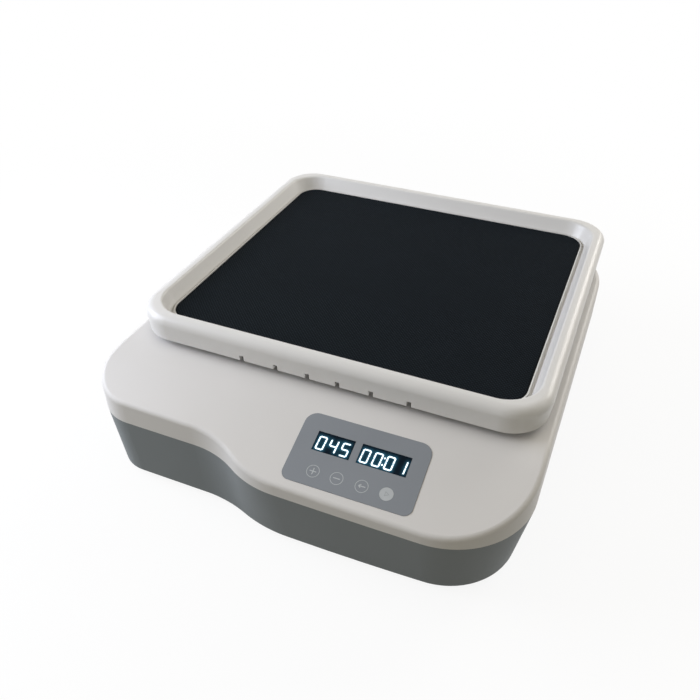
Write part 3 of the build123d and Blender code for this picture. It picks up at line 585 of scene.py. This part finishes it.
def mat_ribs():
    """Low diagonal ribs, cut to the mat's outline."""
    bm = bmesh.new()
    span = (mat_high - mat_low).xy.length
    count = int(span / rib_pitch)
    for i in range(count):
        across = (i - (count - 1) / 2) * rib_pitch
        rib = bmesh.ops.create_cube(bm, size=1.0)["verts"]
        crest = [v for v in rib if v.co.z > 0]
        bmesh.ops.scale(bm, verts=crest, vec=(1, rib_crest, 1))
        bmesh.ops.scale(bm, verts=rib, vec=(span, rib_width, rib_height))
        bmesh.ops.translate(bm, verts=rib, vec=(0, across, rib_height / 2))
    bmesh.ops.rotate(bm, verts=bm.verts, matrix=Matrix.Rotation(rib_turn, 3, "Z"), cent=(0, 0, 0))
    half_x = (mat_high.x - mat_low.x) / 2 - rib_margin
    half_y = (mat_high.y - mat_low.y) / 2 - rib_margin
    corner = mat_corner - rib_margin
    cuts = [((half_x, 0, 0), (1, 0, 0)), ((-half_x, 0, 0), (-1, 0, 0)), ((0, half_y, 0), (0, 1, 0)),
            ((0, -half_y, 0), (0, -1, 0))]
    for sign_x in (-1, 1):
        for sign_y in (-1, 1):
            centre = Vector((sign_x * (half_x - corner), sign_y * (half_y - corner), 0))
            for step in range(1, corner_cuts):
                turn = pi / 2 * step / corner_cuts
                way = Vector((sign_x * cos(turn), sign_y * sin(turn), 0))
                cuts.append((centre + way * corner, way))
    for spot, way in cuts:
        everything = list(bm.verts) + list(bm.edges) + list(bm.faces)
        bmesh.ops.bisect_plane(bm, geom=everything, plane_co=spot, plane_no=way, clear_outer=True)
        bmesh.ops.holes_fill(bm, edges=[e for e in bm.edges if e.is_boundary], sides=most_sides)
    bmesh.ops.recalc_face_normals(bm, faces=bm.faces)
    return bm


# The ribs' pale dots are a painted highlight over the dots' real relief.
rib_rubber = calendered_rubber("cross-cut rubber ribs", "#020407", "#1B2329", 0.85)
mat_top = Matrix.Translation((mat_middle.x, mat_middle.y, mat_high.z))
piece(mat_ribs(), "mat_ribs", rib_rubber, "platform", mat_top)


# Back: on and off marks on the rocker's two slopes, and a plated sleeve on the inlet's pin.
# The back wall leans out from its foot to the seam.
seam_depth_mm = 137.4
seam_height_mm = 42.4
foot_depth_mm = 130.3
foot_height_mm = 4.0
back_lean = atan2(seam_depth_mm - foot_depth_mm, seam_height_mm - foot_height_mm)
rear_spot_mm = Vector((0, 133.998, 24.0))
rear_out = Vector((0, cos(back_lean), -sin(back_lean)))
rear_up = Vector((0, sin(back_lean), cos(back_lean)))
rear_right = Vector((-1, 0, 0))
rear_axes = Matrix((rear_right, rear_up, rear_out)).transposed().to_4x4()


def rear_place(x_mm, out_mm):
    """The back wall's own plane at a place along it, in millimetres."""
    spot = rear_spot_mm + Vector((x_mm, 0, 0)) + rear_out * out_mm
    return Matrix.Translation(spot * MM) @ rear_axes @ Matrix.Scale(MM, 4)


rocker_spot_mm = -46.0
rocker_depth_mm = 2.2
rocker_swing = radians(10.0)
rocker_half_mm = 6.9
rocker_tip_mm = 3.3
rocker_valley_mm = 1.8
slope_angle = atan2(rocker_tip_mm - rocker_valley_mm, rocker_half_mm)
slope_middle_mm = (rocker_tip_mm + rocker_valley_mm) / 2
on_length_mm = 3.0
on_width_mm = 0.5
off_radius_mm = 1.5
off_stroke_mm = 0.45
off_sides = 32
switch_ink = printed_ink("white printed ink", "#E4E4E2", "#D2D2D0")
for name, side in (("rocker_on_mark", 1), ("rocker_off_mark", -1)):
    bm = bmesh.new()
    if side > 0:
        bar(bm, (0, 0), on_length_mm, on_width_mm, 0.0)
    else:
        ring(bm, off_radius_mm, off_stroke_mm, off_sides)
    raise_faces(bm, list(bm.faces), print_height_mm)
    slope_middle = Matrix.Translation((0, side * rocker_half_mm / 2, slope_middle_mm))
    slope = slope_middle @ Matrix.Rotation(side * slope_angle, 4, "X")
    tilt = Matrix.Rotation(-rocker_swing, 4, "X")
    rocker = rear_place(rocker_spot_mm, -rocker_depth_mm)
    piece(bm, name, switch_ink, "rocker", rocker @ tilt @ slope)

inlet_spot_mm = -14.0
pin_radius_mm = 1.0
sleeve_wall_mm = 0.06
sleeve_length_mm = 6.5
sleeve_sides = 24
pin_recess_mm = 0.45
bm = bmesh.new()
bmesh.ops.create_cone(bm, cap_ends=True, segments=sleeve_sides, radius1=pin_radius_mm + sleeve_wall_mm,
                      radius2=pin_radius_mm + sleeve_wall_mm, depth=sleeve_length_mm)
bmesh.ops.translate(bm, verts=bm.verts, vec=(0, 0, -sleeve_length_mm / 2))
for face in bm.faces:
    face.smooth = len(face.verts) == 4
piece(bm, "inlet_pin_sleeve", finishes["bearing_steel"], "base",
      rear_place(inlet_spot_mm, -pin_recess_mm))
